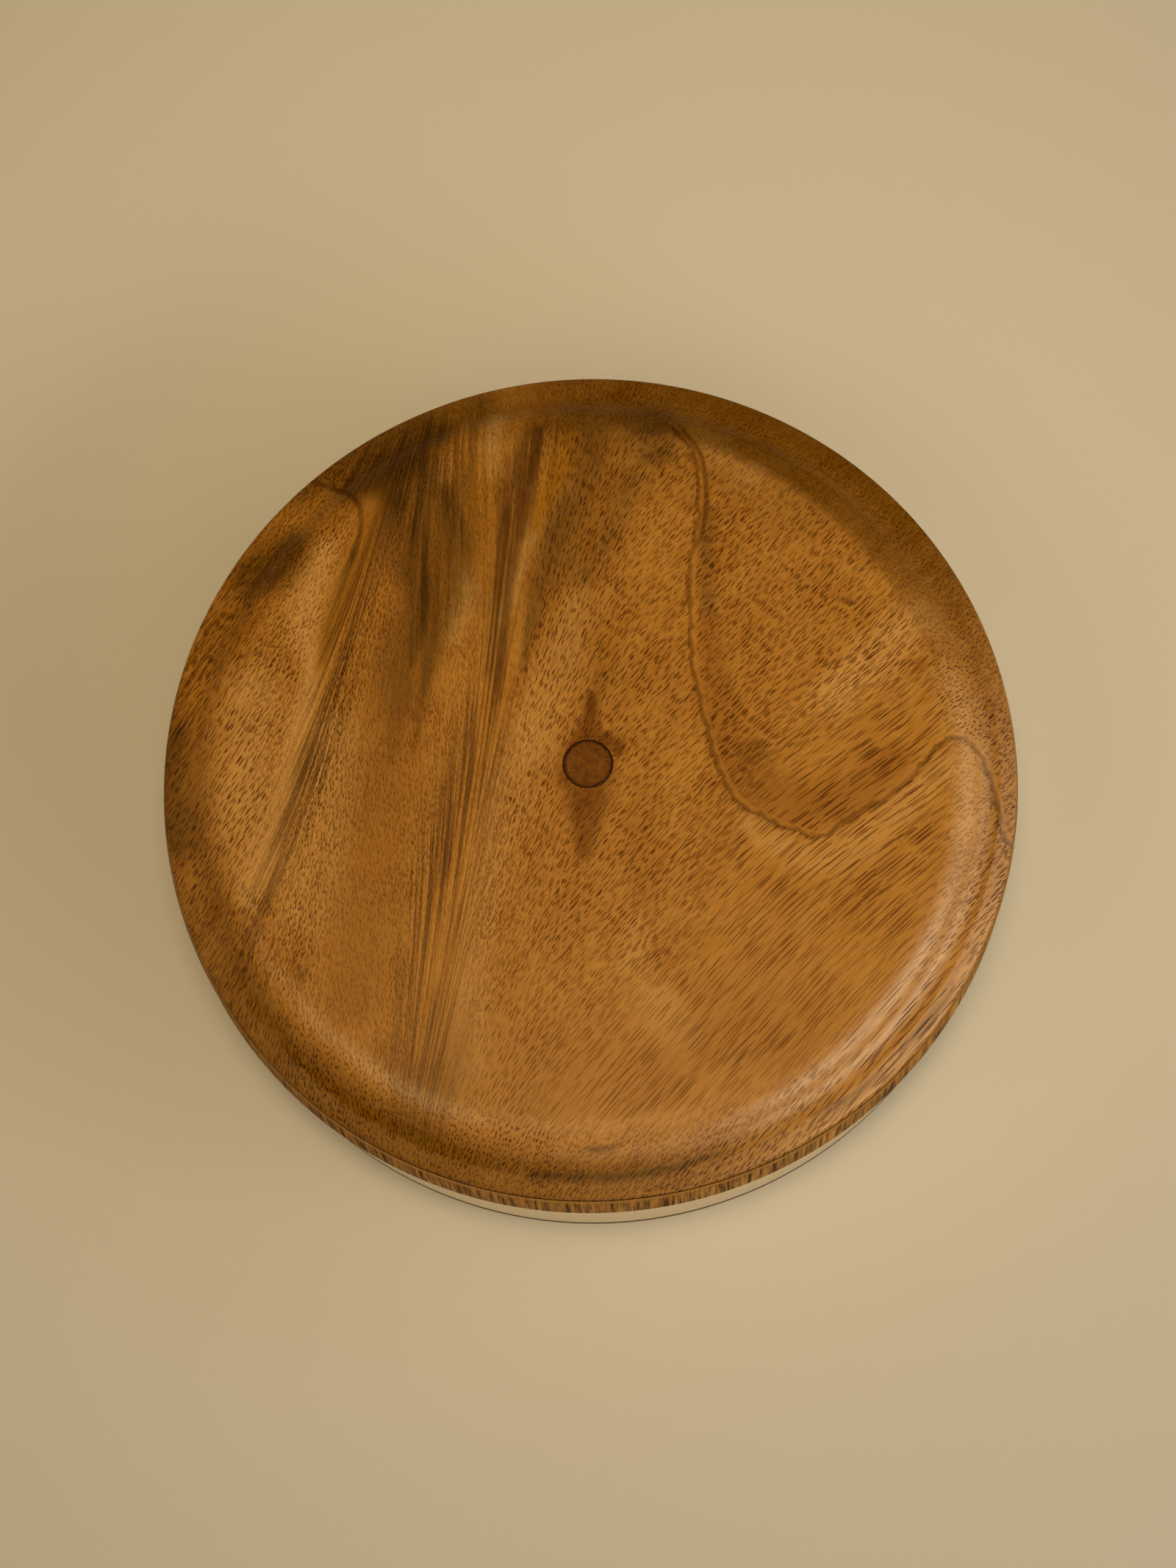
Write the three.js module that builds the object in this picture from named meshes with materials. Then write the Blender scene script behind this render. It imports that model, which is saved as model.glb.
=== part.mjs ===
// Roti box: a turned wooden lid on a double-walled steel body that keeps flatbread warm.
// Millimetres, +Z up. The origin is on the floor, on the axis that every piece is turned about.

import * as THREE from 'three';

// Overall sizes
const LID_DIAMETER = 228.6;
const LID_OVERHANG = 3.8; // lid's face beyond the steel body's face
const BODY_HEIGHT = 43.2; // underside of the steel body to the top of its rim
const FOOT_DROP = 2; // foot ring below the underside of the steel body

// Fits
const GLUE_LINE = 0.3; // round the plug and between the two wooden layers of the lid
const SEAT_GAP = 0.3; // between pieces that rest on, or sit in, one another
const SPIGOT_CLEARANCE = 1.2; // lid's spigot to the wall of the bowl

// Lid crown: a disc turned to a domed face, an ogee and a small flange
const CROWN_SETBACK = 0.5; // edge of the crown behind the face of the collar
const CROWN_EDGE = 2.4; // upright part of the edge
const EDGE_ROUND = 1.3;
const FLANGE_WIDTH = 3.6;
const FLANGE_TILT = 23; // degrees
const CREASE_ROUND = 1.5; // between the flange and the cove
const COVE_TILT = 8; // degrees, the bottom of the cove
const COVE_RADIUS = 11;
const OGEE_TILT = 42; // degrees, where the ogee is steepest
const SHOULDER_RADIUS = 15;
const FACE_TILT = 4.1; // degrees, the domed face at its border

// Centre plug: the dowel that fills the hole the disc was held by on the lathe
const PLUG_DIAMETER = 12.8;
const PLUG_CHAMFER = 0.4; // lower edge only

// Lid collar: the ring glued under the crown, with the spigot that enters the bowl
const COLLAR_HEIGHT = 15;
const COLLAR_CHAMFER = 0.5;
const SPIGOT_DEPTH = 9;
const SPIGOT_WALL = 12.8;
const SPIGOT_CHAMFER = 1;

// Seal ring, in a groove round the spigot
const GROOVE_DROP = 2.2; // underside of the collar to the groove
const GROOVE_HEIGHT = 4;
const GROOVE_DEPTH = 2.2;
const RIB_STAND = 0.7;
const RIB_HEIGHT = 1.3;
const RIB_TIP = 0.5; // flat on the tip of a rib

// Steel body: an inner bowl and an outer shell with foam between them
const SHEET = 0.7;
const WALL_FOAM = 8.5;
const FLOOR_FOAM = 6.4;
const WELL_CORNER = 12; // inside radius between the wall and the floor of the bowl
const MOUTH_ROUND = 1.2;
const RIM_LIP = 4; // turned down over the top of the outer shell
const LIP_ROUND = 1.2;
const SHELL_CORNER = 3;
const FOAM_CHAMFER = 1;

// Underside: a foot ring and a base plate in a recess of the outer shell
const RECESS_INSET = 6.3; // face of the outer shell to the wall of the recess
const RECESS_DEPTH = 1.6;
const FOOT_WIDTH = 6.9;
const FOOT_CHAMFER = 0.6;
const PLATE_LAP = 18; // base plate under the turned-in edge of the outer shell

// Facets round the axis, the same on every large piece so that the facets line up
const FACETS = 60;
const PLUG_FACETS = 32;

// Radii, from the face of the lid inwards
const lidRadius = LID_DIAMETER / 2;
const crownRadius = lidRadius - CROWN_SETBACK;
const plugRadius = PLUG_DIAMETER / 2;
const plugHoleRadius = plugRadius + GLUE_LINE;
const shellRadius = lidRadius - LID_OVERHANG;
const shellBore = shellRadius - SHEET;
const foamRadius = shellBore - SEAT_GAP;
const foamBore = foamRadius - WALL_FOAM;
const bowlRadius = foamBore - SEAT_GAP;
const wellRadius = bowlRadius - SHEET;
const lipBore = shellRadius + SEAT_GAP;
const lipRadius = lipBore + SHEET;
const spigotRadius = wellRadius - SPIGOT_CLEARANCE;
const spigotBore = spigotRadius - SPIGOT_WALL;
const grooveRadius = spigotRadius - GROOVE_DEPTH;
const recessRadius = shellRadius - RECESS_INSET;
const footRadius = recessRadius - SEAT_GAP;
const footBore = footRadius - FOOT_WIDTH;
const plateRadius = footBore - SEAT_GAP;
const baseOpening = plateRadius - PLATE_LAP;

// Heights above the floor
const shellBottom = FOOT_DROP;
const recessTop = shellBottom + RECESS_DEPTH;
const baseInside = recessTop + SHEET;
const footTop = recessTop - SEAT_GAP;
const foamBottom = baseInside + SEAT_GAP;
const foamFloor = foamBottom + FLOOR_FOAM;
const bowlBottom = foamFloor + SEAT_GAP;
const wellFloor = bowlBottom + SHEET;
const rimTop = shellBottom + BODY_HEIGHT;
const rimUnderside = rimTop - SHEET;
const shellTop = rimUnderside - SEAT_GAP;
const collarBottom = rimTop + SEAT_GAP;
const collarTop = collarBottom + COLLAR_HEIGHT;
const spigotBottom = collarBottom - SPIGOT_DEPTH;
const grooveTop = collarBottom - GROOVE_DROP;
const grooveBottom = grooveTop - GROOVE_HEIGHT;
const crownBottom = collarTop + GLUE_LINE;
const crownEdgeTop = crownBottom + CROWN_EDGE;

const at = (radius, height) => new THREE.Vector2(radius, height);

// Direction square to a surface that falls outwards at a tilt, in degrees from level
function outward(tilt) {
  const angle = THREE.MathUtils.degToRad(tilt);
  return at(Math.sin(angle), Math.cos(angle));
}

// Points of an arc that leaves a point at one tilt and ends at another.
// A positive radius bulges out of the surface and a negative one is hollow.
function bend(start, radius, fromTilt, toTilt, steps) {
  const centre = start.clone().addScaledVector(outward(fromTilt), -radius);
  return Array.from({ length: steps }, (_, index) => {
    const tilt = THREE.MathUtils.lerp(fromTilt, toTilt, (index + 1) / steps);
    return centre.clone().addScaledVector(outward(tilt), radius);
  });
}

// Turns an outline about the Z axis. The outline runs up the outside and down the inside,
// and it is closed on itself unless both of its ends are on the axis.
function turned(outline, facets = FACETS) {
  const first = outline[0];
  const last = outline[outline.length - 1];
  const endsOnAxis = first.x === 0 && last.x === 0;
  const profile = endsOnAxis ? outline : [...outline, first.clone()];
  return new THREE.LatheGeometry(profile, facets).rotateX(Math.PI / 2);
}

const wood = (colour) => new THREE.MeshStandardMaterial({ color: colour, roughness: 0.5, metalness: 0 });
const steel = () => new THREE.MeshStandardMaterial({ color: 0xb4b0a8, roughness: 0.35, metalness: 1 });
const silicone = (colour) => new THREE.MeshStandardMaterial({ color: colour, roughness: 0.7, metalness: 0 });
const foam = () => new THREE.MeshStandardMaterial({ color: 0xe6d6a4, roughness: 0.95, metalness: 0 });

const rotiBox = new THREE.Group();

function addPiece(name, geometry, material) {
  const piece = new THREE.Mesh(geometry, material);
  piece.name = name;
  rotiBox.add(piece);
}

// Lid crown, from its edge up over the flange, the cove, the shoulder and the domed face
const edgeRound = bend(at(crownRadius, crownEdgeTop), EDGE_ROUND, 90, FLANGE_TILT, 3);
const flangeOuter = edgeRound[edgeRound.length - 1];
const flangeRise = FLANGE_WIDTH * Math.tan(THREE.MathUtils.degToRad(FLANGE_TILT));
const flangeInner = at(flangeOuter.x - FLANGE_WIDTH, flangeOuter.y + flangeRise);
const crease = bend(flangeInner, CREASE_ROUND, FLANGE_TILT, COVE_TILT, 1);
const cove = bend(crease[crease.length - 1], -COVE_RADIUS, COVE_TILT, OGEE_TILT, 4);
const shoulder = bend(cove[cove.length - 1], SHOULDER_RADIUS, OGEE_TILT, FACE_TILT, 5);
const faceBorder = shoulder[shoulder.length - 1];
const faceRadius = faceBorder.x / outward(FACE_TILT).x;
const plugHoleTilt = THREE.MathUtils.radToDeg(Math.asin(plugHoleRadius / faceRadius));
const face = bend(faceBorder, faceRadius, FACE_TILT, plugHoleTilt, 4);
const faceAtPlug = face[face.length - 1];
addPiece('lid_crown', turned([
  at(plugHoleRadius, crownBottom),
  at(crownRadius, crownBottom),
  at(crownRadius, crownEdgeTop),
  ...edgeRound,
  flangeInner,
  ...crease,
  ...cove,
  ...shoulder,
  ...face,
]), wood(0x96601f));

// Centre plug, flush with the face of the crown and with its underside
addPiece('centre_plug', turned([
  at(0, crownBottom),
  at(plugRadius - PLUG_CHAMFER, crownBottom),
  at(plugRadius, crownBottom + PLUG_CHAMFER),
  at(plugRadius, faceAtPlug.y),
  at(0, faceAtPlug.y),
], PLUG_FACETS), wood(0x7a4516));

// Lid collar: a ring with a step that rests on the rim, and a grooved spigot below it
addPiece('lid_collar', turned([
  at(spigotBore, spigotBottom),
  at(spigotRadius - SPIGOT_CHAMFER, spigotBottom),
  at(spigotRadius, spigotBottom + SPIGOT_CHAMFER),
  at(spigotRadius, grooveBottom),
  at(grooveRadius, grooveBottom),
  at(grooveRadius, grooveTop),
  at(spigotRadius, grooveTop),
  at(spigotRadius, collarBottom),
  at(lidRadius, collarBottom),
  at(lidRadius, collarTop - COLLAR_CHAMFER),
  at(lidRadius - COLLAR_CHAMFER, collarTop),
  at(spigotBore, collarTop),
]), wood(0x6e4317));

// Seal ring: a band with two ribs that press on the wall of the bowl
const sealBore = grooveRadius + SEAT_GAP;
const ribRadius = wellRadius - SEAT_GAP;
const sealRadius = ribRadius - RIB_STAND;
const sealBottom = grooveBottom + SEAT_GAP;
const sealTop = grooveTop - SEAT_GAP;
const ribSlope = (RIB_HEIGHT - RIB_TIP) / 2;

function rib(bottom) {
  return [
    at(sealRadius, bottom),
    at(ribRadius, bottom + ribSlope),
    at(ribRadius, bottom + ribSlope + RIB_TIP),
    at(sealRadius, bottom + RIB_HEIGHT),
  ];
}

addPiece('lid_seal_ring', turned([
  at(sealBore, sealBottom),
  ...rib(sealBottom),
  ...rib(sealTop - RIB_HEIGHT),
  at(sealBore, sealTop),
]), silicone(0xe4ddcb));

// Inner bowl: pressed from one sheet, with its rim turned out and down over the outer shell
const wellCornerFoot = at(wellRadius - WELL_CORNER, wellFloor);
const bowlCornerFoot = at(wellCornerFoot.x, bowlBottom);
addPiece('inner_bowl', turned([
  at(0, bowlBottom),
  bowlCornerFoot,
  ...bend(bowlCornerFoot, WELL_CORNER + SHEET, 180, 90, 4),
  at(bowlRadius, rimUnderside),
  at(lipBore, rimUnderside),
  at(lipBore, rimTop - RIM_LIP),
  at(lipRadius, rimTop - RIM_LIP),
  at(lipRadius, rimTop - LIP_ROUND),
  ...bend(at(lipRadius, rimTop - LIP_ROUND), LIP_ROUND, 90, 0, 3),
  at(wellRadius + MOUTH_ROUND, rimTop),
  ...bend(at(wellRadius + MOUTH_ROUND, rimTop), MOUTH_ROUND, 0, -90, 3),
  ...bend(at(wellRadius, wellFloor + WELL_CORNER), -WELL_CORNER, -90, 0, 4),
  at(0, wellFloor),
]), steel());

// Outer shell: a straight wall, a rounded lower corner and a stepped, turned-in base
const shellCornerFoot = at(shellRadius - SHELL_CORNER, shellBottom);
addPiece('outer_shell', turned([
  at(baseOpening, recessTop),
  at(recessRadius, recessTop),
  at(recessRadius, shellBottom),
  shellCornerFoot,
  ...bend(shellCornerFoot, SHELL_CORNER, 180, 90, 3),
  at(shellRadius, shellTop),
  at(shellBore, shellTop),
  at(shellBore, shellBottom + SHELL_CORNER),
  ...bend(at(shellBore, shellBottom + SHELL_CORNER), SHEET - SHELL_CORNER, -90, 0, 3),
  at(recessRadius + SHEET, shellBottom + SHEET),
  at(recessRadius + SHEET, baseInside),
  at(baseOpening, baseInside),
]), steel());

// Insulation: foam cast between the two steel walls and under the bowl
addPiece('insulation_core', turned([
  at(0, foamBottom),
  at(foamRadius - FOAM_CHAMFER, foamBottom),
  at(foamRadius, foamBottom + FOAM_CHAMFER),
  at(foamRadius, shellTop),
  at(foamBore, shellTop),
  at(foamBore, wellFloor + WELL_CORNER),
  ...bend(at(foamBore, wellFloor + WELL_CORNER), -(WELL_CORNER + SHEET + SEAT_GAP), -90, 0, 4),
  at(0, foamFloor),
]), foam());

// Base plate: closes the opening in the outer shell, its middle pressed up into that opening
const plateBottom = footTop - SHEET;
const panelRadius = baseOpening - SEAT_GAP;
addPiece('base_plate', turned([
  at(0, recessTop),
  at(panelRadius - SHEET, recessTop),
  at(panelRadius - SHEET, plateBottom),
  at(plateRadius, plateBottom),
  at(plateRadius, footTop),
  at(panelRadius, footTop),
  at(panelRadius, baseInside),
  at(0, baseInside),
]), steel());

// Foot ring: pressed into the recess round the base plate
addPiece('foot_ring', turned([
  at(footBore + FOOT_CHAMFER, 0),
  at(footRadius - FOOT_CHAMFER, 0),
  at(footRadius, FOOT_CHAMFER),
  at(footRadius, footTop),
  at(footBore, footTop),
  at(footBore, FOOT_CHAMFER),
]), silicone(0x4a463f));

export default rotiBox;
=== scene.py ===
import math

import bpy
import numpy as np
from mathutils import Matrix, Vector


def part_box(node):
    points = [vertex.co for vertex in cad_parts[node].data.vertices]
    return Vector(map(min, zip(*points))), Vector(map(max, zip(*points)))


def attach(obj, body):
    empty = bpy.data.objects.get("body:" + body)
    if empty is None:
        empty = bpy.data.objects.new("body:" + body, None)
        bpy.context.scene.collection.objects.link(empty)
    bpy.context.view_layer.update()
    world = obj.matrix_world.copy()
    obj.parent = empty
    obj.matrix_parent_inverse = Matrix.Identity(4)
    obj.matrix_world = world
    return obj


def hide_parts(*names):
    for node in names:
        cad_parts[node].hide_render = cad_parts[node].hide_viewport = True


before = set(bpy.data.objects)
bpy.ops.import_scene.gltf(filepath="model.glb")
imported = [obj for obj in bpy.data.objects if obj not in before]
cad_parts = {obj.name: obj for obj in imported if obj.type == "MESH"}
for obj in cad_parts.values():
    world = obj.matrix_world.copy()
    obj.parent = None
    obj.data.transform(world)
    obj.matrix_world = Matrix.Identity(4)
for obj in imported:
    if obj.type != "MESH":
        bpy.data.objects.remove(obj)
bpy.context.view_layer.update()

# Outer shell
# The outside wall of the body: a shallow cup pressed from stainless steel sheet, its base stepped
# up to take the foot ring and turned in to a wide opening. It was brushed while it spun.
MM = 0.001
SIDES = 256
SHEET = 0.7
SHELL_CORNER = 3.0
RECESS_INSET = 6.3
RECESS_DEPTH = 1.6
BASE_OPENING = 78.7
PRESSED_EDGE = 0.25
SHARP_ANGLE = 40.0
BRUSH_PITCH = 0.35  # coarser than real brushing, so that it shows
BRUSH_STROKE = 24.0
BRUSH_DEPTH = 0.02
BRUSH_ROUGHNESS = 0.06
STEEL = "#f6e8ca"
STEEL_SCRATCH = "#cfc2aa"
# Painted shade: the dark line round the foot of the wall, where the shadow under the body falls.
STEEL_FOOT_SHADE = "#583400"
FOOT_SHADE_HALF = 1.8
FOOT_SHADE_FADE = 0.9


def extent(node):
    """Outer radius, lowest and highest point of a CAD node, in millimetres."""
    low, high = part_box(node)
    return high.y / MM, low.z / MM, high.z / MM


def bend(start, radius, from_tilt, to_tilt, steps):
    """Points of an arc that leaves start at one tilt, in degrees from level, and ends at another.
    A positive radius bulges out of the surface and a negative one is hollow."""
    tilts = np.radians(np.linspace(from_tilt, to_tilt, steps + 1))
    radii = start[0] + radius * (np.sin(tilts) - np.sin(tilts[0]))
    heights = start[1] + radius * (np.cos(tilts) - np.cos(tilts[0]))
    return list(zip(radii[1:], heights[1:]))


def run(start, end, steps):
    """Points along a straight line, without its first one."""
    first, last = np.array(start), np.array(end)
    return [tuple(first + part * (last - first)) for part in np.linspace(0, 1, steps + 1)[1:]]


def turned(name, outline, sides=SIDES):
    """Turns an outline in millimetres about the Z axis. The outline runs up the outside and down the
    inside, and closes on itself unless both of its ends are on the axis."""
    turns = np.arange(sides) * 2 * math.pi / sides
    points = []
    rings = []
    for radius, height in outline:
        count = sides if radius > 0 else 1
        rings.append([len(points) + index % count for index in range(sides + 1)])
        for turn in turns[:count]:
            points.append((radius * math.cos(turn) * MM, radius * math.sin(turn) * MM, height * MM))
    if outline[0][0] > 0:
        rings.append(rings[0])
    faces = []
    for lower, upper in zip(rings, rings[1:]):
        for index in range(sides):
            corners = [lower[index], lower[index + 1], upper[index + 1], upper[index]]
            faces.append(list(dict.fromkeys(corners)))
    mesh = bpy.data.meshes.new(name)
    mesh.from_pydata(points, [], faces)
    mesh.shade_smooth()
    mesh.set_sharp_from_angle(angle=math.radians(SHARP_ANGLE))
    piece = bpy.data.objects.new(name, mesh)
    bpy.context.scene.collection.objects.link(piece)
    return piece


def linear(code):
    """An sRGB hex colour as linear red, green, blue and alpha."""
    parts = [int(code[at:at + 2], 16) / 255 for at in (1, 3, 5)]
    light = [part / 12.92 if part <= 0.04045 else ((part + 0.055) / 1.055) ** 2.4 for part in parts]
    return light + [1.0]


def add(tree, kind, links=None, **settings):
    """Adds a shader node with its settings, links or sets its inputs, and gives back its outputs. A
    MapRange goes from inputs 1 and 2 to inputs 3 and 4, and a Mix of colours has them in 6 and 7."""
    made = tree.nodes.new("ShaderNode" + kind)
    for name, value in settings.items():
        setattr(made, name, value)
    for socket, source in (links or {}).items():
        if isinstance(source, bpy.types.NodeSocket):
            tree.links.new(source, made.inputs[socket])
        else:
            made.inputs[socket].default_value = source
    return made.outputs


def material(name):
    """An empty material and its node tree."""
    made = bpy.data.materials.new(name)
    made.use_nodes = True
    made.node_tree.nodes.clear()
    return made, made.node_tree


# Stainless steel, brushed round the axis: fine rings of brighter and duller metal that stretch each
# reflection along the axis, so the wall carries soft upright bands. Where a height is given for it,
# a soft dark line of painted shade runs round the metal, standing for the shadow at the foot.
def brushed_steel(name, roughness, anisotropic, foot_shade_at=None):
    steel, tree = material(name)
    place = add(tree, "TexCoord")["Object"]
    parts = add(tree, "SeparateXYZ", {0: place})
    level = add(tree, "CombineXYZ", {0: parts["X"], 1: parts["Y"]})[0]
    radius = add(tree, "VectorMath", {0: level}, operation="LENGTH")["Value"]
    along = add(tree, "Math", {0: radius, 1: parts["Z"]}, operation="ADD")[0]
    ring = add(tree, "Math", {0: along, 1: 1 / (BRUSH_PITCH * MM)}, operation="MULTIPLY")[0]
    reach = {0: level, "Scale": 1 / (BRUSH_STROKE * MM)}
    spread = add(tree, "VectorMath", reach, operation="SCALE")[0]
    turn = add(tree, "SeparateXYZ", {0: spread})
    stroke = add(tree, "CombineXYZ", {0: turn["X"], 1: turn["Y"], 2: ring})[0]
    lines = {"Vector": stroke, "Scale": 1.0, "Detail": 3.0, "Roughness": 0.6}
    brush = add(tree, "TexNoise", lines)[0]
    colours = {0: brush, 6: linear(STEEL_SCRATCH), 7: linear(STEEL)}
    colour = add(tree, "Mix", colours, data_type="RGBA")[2]
    bare = 1.0
    # A band of painted shade, dark and not metal, round the wall at the given height.
    if foot_shade_at is not None:
        above = add(tree, "Math", {0: parts["Z"], 1: foot_shade_at * MM}, operation="SUBTRACT")[0]
        off = add(tree, "Math", {0: above}, operation="ABSOLUTE")[0]
        edge = {0: off, 1: (FOOT_SHADE_HALF + FOOT_SHADE_FADE) * MM, 2: (FOOT_SHADE_HALF - FOOT_SHADE_FADE) * MM}
        foot_shade = add(tree, "MapRange", edge)[0]
        layers = {0: foot_shade, 6: colour, 7: linear(STEEL_FOOT_SHADE)}
        colour = add(tree, "Mix", layers, data_type="RGBA")[2]
        bare = add(tree, "Math", {0: 1.0, 1: foot_shade}, operation="SUBTRACT")[0]
    between = {0: brush, 3: roughness - BRUSH_ROUGHNESS, 4: roughness + BRUSH_ROUGHNESS}
    rough = add(tree, "MapRange", between)[0]
    bump = add(tree, "Bump", {"Strength": 0.25, "Distance": BRUSH_DEPTH * MM, "Height": brush})[0]
    tangent = add(tree, "Tangent", direction_type="RADIAL", axis="Z")[0]
    shader = add(tree, "BsdfPrincipled", {
        "Base Color": colour,
        "Metallic": bare,
        "Roughness": rough,
        "Specular IOR Level": 0.0,
        "Anisotropic": anisotropic,
        "Tangent": tangent,
        "Normal": bump,
    })[0]
    add(tree, "OutputMaterial", {"Surface": shader})
    return steel


shell_radius, shell_bottom, shell_top = extent("outer_shell")
shell_bore = shell_radius - SHEET
recess_radius = shell_radius - RECESS_INSET
recess_top = shell_bottom + RECESS_DEPTH
corner_foot = (shell_radius - SHELL_CORNER, shell_bottom)
recess_lip = (recess_radius, shell_bottom + PRESSED_EDGE)
recess_inner = (recess_radius - PRESSED_EDGE, recess_top)
shell = turned("pressed_outer_shell", [
    (BASE_OPENING, recess_top),
    recess_inner,
    *bend(recess_inner, -PRESSED_EDGE, 180, 270, 3),
    recess_lip,
    *bend(recess_lip, PRESSED_EDGE, 270, 180, 4),
    corner_foot,
    *bend(corner_foot, SHELL_CORNER, 180, 90, 10),
    *run((shell_radius, shell_bottom + SHELL_CORNER), (shell_radius, shell_top - PRESSED_EDGE), 6),
    *bend((shell_radius, shell_top - PRESSED_EDGE), PRESSED_EDGE, 90, 0, 3),
    (shell_bore, shell_top),
    (shell_bore, shell_bottom + SHELL_CORNER),
    *bend((shell_bore, shell_bottom + SHELL_CORNER), SHEET - SHELL_CORNER, -90, 0, 6),
    (recess_radius + SHEET, shell_bottom + SHEET),
    (recess_radius + SHEET, recess_top + SHEET),
    (BASE_OPENING, recess_top + SHEET),
])
# The wall carries the painted shade of its foot just above the round corner.
shell_steel = brushed_steel("brushed_stainless_wall", 0.34, 0.55, shell_bottom + SHELL_CORNER)
shell.data.materials.append(shell_steel)
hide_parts("outer_shell")
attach(shell, "box")

# Insulation core
# Rigid polyurethane foam, poured between the two steel walls, where it swelled, set and bonded.
# It is shut in for good, so it is the cast block itself, with its fine cells.
FOAM_CELL = 0.8  # coarser than real cells, so that they show
FOAM_PIT = 0.2
FOAM = "#e6d6a4"
FOAM_CELL_WALL = "#cdb97f"

# Polyurethane foam: pale straw yellow and quite dull, finely pitted where its cells are cut.
foam, tree = material("poured_polyurethane_foam")
place = add(tree, "TexCoord")["Object"]
cells = add(tree, "TexVoronoi", {"Vector": place, "Scale": 1 / (FOAM_CELL * MM)})["Distance"]
colours = {0: cells, 6: linear(FOAM), 7: linear(FOAM_CELL_WALL)}
colour = add(tree, "Mix", colours, data_type="RGBA")[2]
bump = add(tree, "Bump", {"Strength": 0.6, "Distance": FOAM_PIT * MM, "Height": cells})[0]
dull_foam = {"Base Color": colour, "Roughness": 0.95, "Normal": bump}
shader = add(tree, "BsdfPrincipled", dull_foam)[0]
add(tree, "OutputMaterial", {"Surface": shader})
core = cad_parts["insulation_core"]
core.data.materials.clear()
core.data.materials.append(foam)

# Inner bowl
# The well that holds the bread: drawn from one stainless steel sheet, with a wide round corner at
# the floor. Its rim is rolled out over the foam and crimped down round the top of the outer shell.
WELL_CORNER = 12.0
MOUTH_ROUND = 1.2
RIM_LIP = 4.0
LIP_ROUND = 1.2
WELL_RADIUS = 100.0
lip_radius, bowl_bottom, rim_top = extent("inner_bowl")
lip_bore = lip_radius - SHEET
lip_end = rim_top - RIM_LIP
bowl_radius = WELL_RADIUS + SHEET
well_floor = bowl_bottom + SHEET
outer_foot = (WELL_RADIUS - WELL_CORNER, bowl_bottom)
bowl = turned("drawn_inner_bowl", [
    (0, bowl_bottom),
    *run((0, bowl_bottom), outer_foot, 8),
    *bend(outer_foot, WELL_CORNER + SHEET, 180, 90, 10),
    (bowl_radius, rim_top - SHEET),
    (lip_bore, rim_top - SHEET),
    (lip_bore, lip_end + PRESSED_EDGE),
    *bend((lip_bore, lip_end + PRESSED_EDGE), PRESSED_EDGE, 270, 180, 3),
    (lip_radius - PRESSED_EDGE, lip_end),
    *bend((lip_radius - PRESSED_EDGE, lip_end), PRESSED_EDGE, 180, 90, 3),
    (lip_radius, rim_top - LIP_ROUND),
    *bend((lip_radius, rim_top - LIP_ROUND), LIP_ROUND, 90, 0, 8),
    *run((lip_radius - LIP_ROUND, rim_top), (WELL_RADIUS + MOUTH_ROUND, rim_top), 3),
    *bend((WELL_RADIUS + MOUTH_ROUND, rim_top), MOUTH_ROUND, 0, -90, 8),
    *run((WELL_RADIUS, rim_top - MOUTH_ROUND), (WELL_RADIUS, well_floor + WELL_CORNER), 5),
    *bend((WELL_RADIUS, well_floor + WELL_CORNER), -WELL_CORNER, -90, 0, 12),
    *run((WELL_RADIUS - WELL_CORNER, well_floor), (0, well_floor), 16),
])
bowl.data.materials.append(brushed_steel("brushed_stainless_bowl", 0.28, 0.5))
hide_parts("inner_bowl")
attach(bowl, "box")

# Base plate
# A disc of the same steel sheet that closes the opening under the foam. Its middle is pressed up
# into the opening, and its border is glued under the turned-in edge of the outer shell.
PANEL_RADIUS = 78.4
PRESS_ROUND = 0.3
plate_radius, plate_bottom, panel_top = extent("base_plate")
panel_under = panel_top - SHEET
border_top = plate_bottom + SHEET
plate = turned("pressed_base_plate", [
    (0, panel_under),
    *run((0, panel_under), (PANEL_RADIUS - SHEET - PRESS_ROUND, panel_under), 8),
    *bend((PANEL_RADIUS - SHEET - PRESS_ROUND, panel_under), -PRESS_ROUND, 180, 270, 4),
    (PANEL_RADIUS - SHEET, plate_bottom + PRESS_ROUND),
    *bend((PANEL_RADIUS - SHEET, plate_bottom + PRESS_ROUND), PRESS_ROUND, 270, 180, 4),
    (plate_radius - PRESS_ROUND, plate_bottom),
    *bend((plate_radius - PRESS_ROUND, plate_bottom), PRESS_ROUND, 180, 90, 4),
    (plate_radius, border_top),
    (PANEL_RADIUS, border_top),
    (PANEL_RADIUS, panel_top - PRESS_ROUND),
    *bend((PANEL_RADIUS, panel_top - PRESS_ROUND), PRESS_ROUND, 90, 0, 4),
    (0, panel_top),
])
plate.data.materials.append(brushed_steel("brushed_stainless_base", 0.4, 0.4))
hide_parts("base_plate")
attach(plate, "box")

# Foot ring
# A ring of dark silicone rubber, moulded and pressed into the recess round the base plate. It lifts
# the steel clear of the table, so a thin line of shadow runs round the foot of the body.
FOOT_WIDTH = 6.9
FOOT_ROUND = 0.6
MOULD_GRAIN = 0.5  # coarser than a real sparked mould, so that it shows
MOULD_DEPTH = 0.05
DUST_PATCH = 20.0
FOOT_SILICONE = "#4a463f"
FOOT_SILICONE_DUSTY = "#5b574f"


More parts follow.
